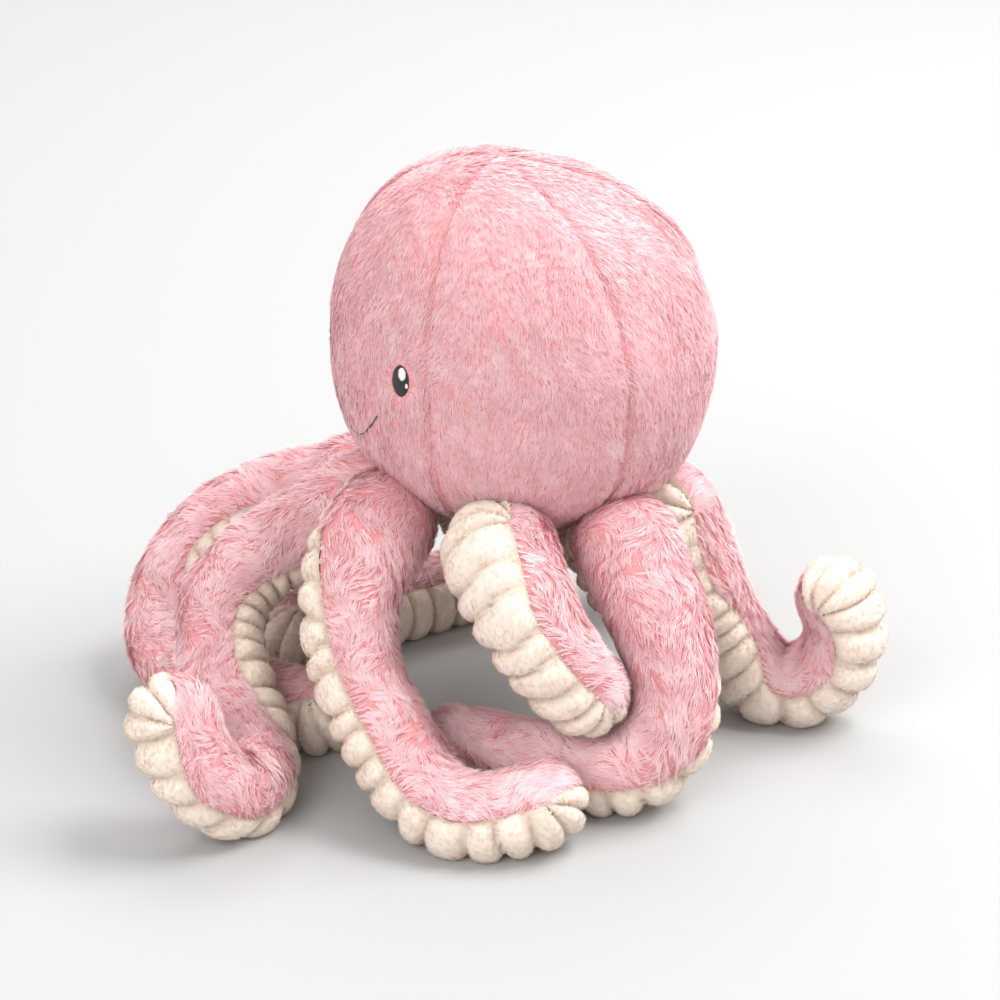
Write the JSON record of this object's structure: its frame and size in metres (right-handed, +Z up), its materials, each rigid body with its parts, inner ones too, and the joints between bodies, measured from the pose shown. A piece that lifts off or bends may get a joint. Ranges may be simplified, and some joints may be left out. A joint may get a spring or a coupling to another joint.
{
  "type": "plush octopus",
  "caption": "Stuffed octopus toy with a round head sewn from gores, an embroidered face and bent arms with ribbed undersides that lift at their roots.",
  "frame": {"origin": "middle of the box that holds the toy, on the floor that the toy stands on", "axes": "+Z up; the face looks along -Y; the toy's own left side is at +X"},
  "size_m": [0.2361, 0.3239, 0.2375],
  "materials": {
    "pink_fur": "short pile plush",
    "cream_ribbed": "ribbed plush",
    "stuffing": "loose polyester fibre",
    "black_thread": "satin stitch",
    "white_thread": "satin stitch",
    "brown_thread": "one line of stitches"
  },
  "bodies": {
    "head": {"face_gore": "pink_fur", "left_front_gore": "pink_fur", "left_back_gore": "pink_fur", "back_gore": "pink_fur", "right_back_gore": "pink_fur", "right_front_gore": "pink_fur", "base_panel": "cream_ribbed", "head_filling": "stuffing", "left_eye": "black_thread", "left_eye_glint": "white_thread", "right_eye": "black_thread", "right_eye_glint": "white_thread", "smile": "brown_thread"},
    "front_arm": {"front_arm_fur_panel": "pink_fur", "front_arm_underside": "cream_ribbed", "front_arm_filling": "stuffing"},
    "front_left_arm": {"front_left_arm_fur_panel": "pink_fur", "front_left_arm_underside": "cream_ribbed", "front_left_arm_filling": "stuffing"},
    "left_arm": {"left_arm_fur_panel": "pink_fur", "left_arm_underside": "cream_ribbed", "left_arm_filling": "stuffing"},
    "back_left_arm": {"back_left_arm_fur_panel": "pink_fur", "back_left_arm_underside": "cream_ribbed", "back_left_arm_filling": "stuffing"},
    "back_arm": {"back_arm_fur_panel": "pink_fur", "back_arm_underside": "cream_ribbed", "back_arm_filling": "stuffing"},
    "back_right_arm": {"back_right_arm_fur_panel": "pink_fur", "back_right_arm_underside": "cream_ribbed", "back_right_arm_filling": "stuffing"},
    "right_arm": {"right_arm_fur_panel": "pink_fur", "right_arm_underside": "cream_ribbed", "right_arm_filling": "stuffing"},
    "front_right_arm": {"front_right_arm_fur_panel": "pink_fur", "front_right_arm_underside": "cream_ribbed", "front_right_arm_filling": "stuffing"}
  },
  "joints": [
    {"name": "front_arm_root", "type": "hinge", "parent": "head", "child": "front_arm", "pos_m": [0.00967, -0.04794, 0.09967], "axis": [-0.1313, -0.9913, 0], "range_deg": [0, 60]},
    {"name": "front_left_arm_root", "type": "hinge", "parent": "head", "child": "front_left_arm", "pos_m": [0.05514, -0.01926, 0.09941], "axis": [-0.5736, -0.8191, 0], "range_deg": [-10, 35]},
    {"name": "left_arm_root", "type": "hinge", "parent": "head", "child": "left_arm", "pos_m": [0.06003, 0.03213, 0.09327], "axis": [0.1736, -0.9848, 0], "range_deg": [0, 8]},
    {"name": "back_left_arm_root", "type": "hinge", "parent": "head", "child": "back_left_arm", "pos_m": [0.03058, 0.06834, 0.08916], "axis": [0.8191, -0.5736, 0], "range_deg": [-10, 60]},
    {"name": "back_arm_root", "type": "hinge", "parent": "head", "child": "back_arm", "pos_m": [-0.01249, 0.07777, 0.08937], "axis": [0.9848, 0.1736, 0], "range_deg": [-10, 60]},
    {"name": "back_right_arm_root", "type": "hinge", "parent": "head", "child": "back_right_arm", "pos_m": [-0.04944, 0.05397, 0.08975], "axis": [0.5736, 0.8191, 0], "range_deg": [-5, 50]},
    {"name": "right_arm_root", "type": "hinge", "parent": "head", "child": "right_arm", "pos_m": [-0.05923, 0.0111, 0.08926], "axis": [-0.1736, 0.9848, 0], "range_deg": [0, 50]},
    {"name": "front_right_arm_root", "type": "hinge", "parent": "head", "child": "front_right_arm", "pos_m": [-0.0356, -0.02617, 0.08912], "axis": [-0.8191, 0.5736, 0], "range_deg": [0, 45]}
  ]
}
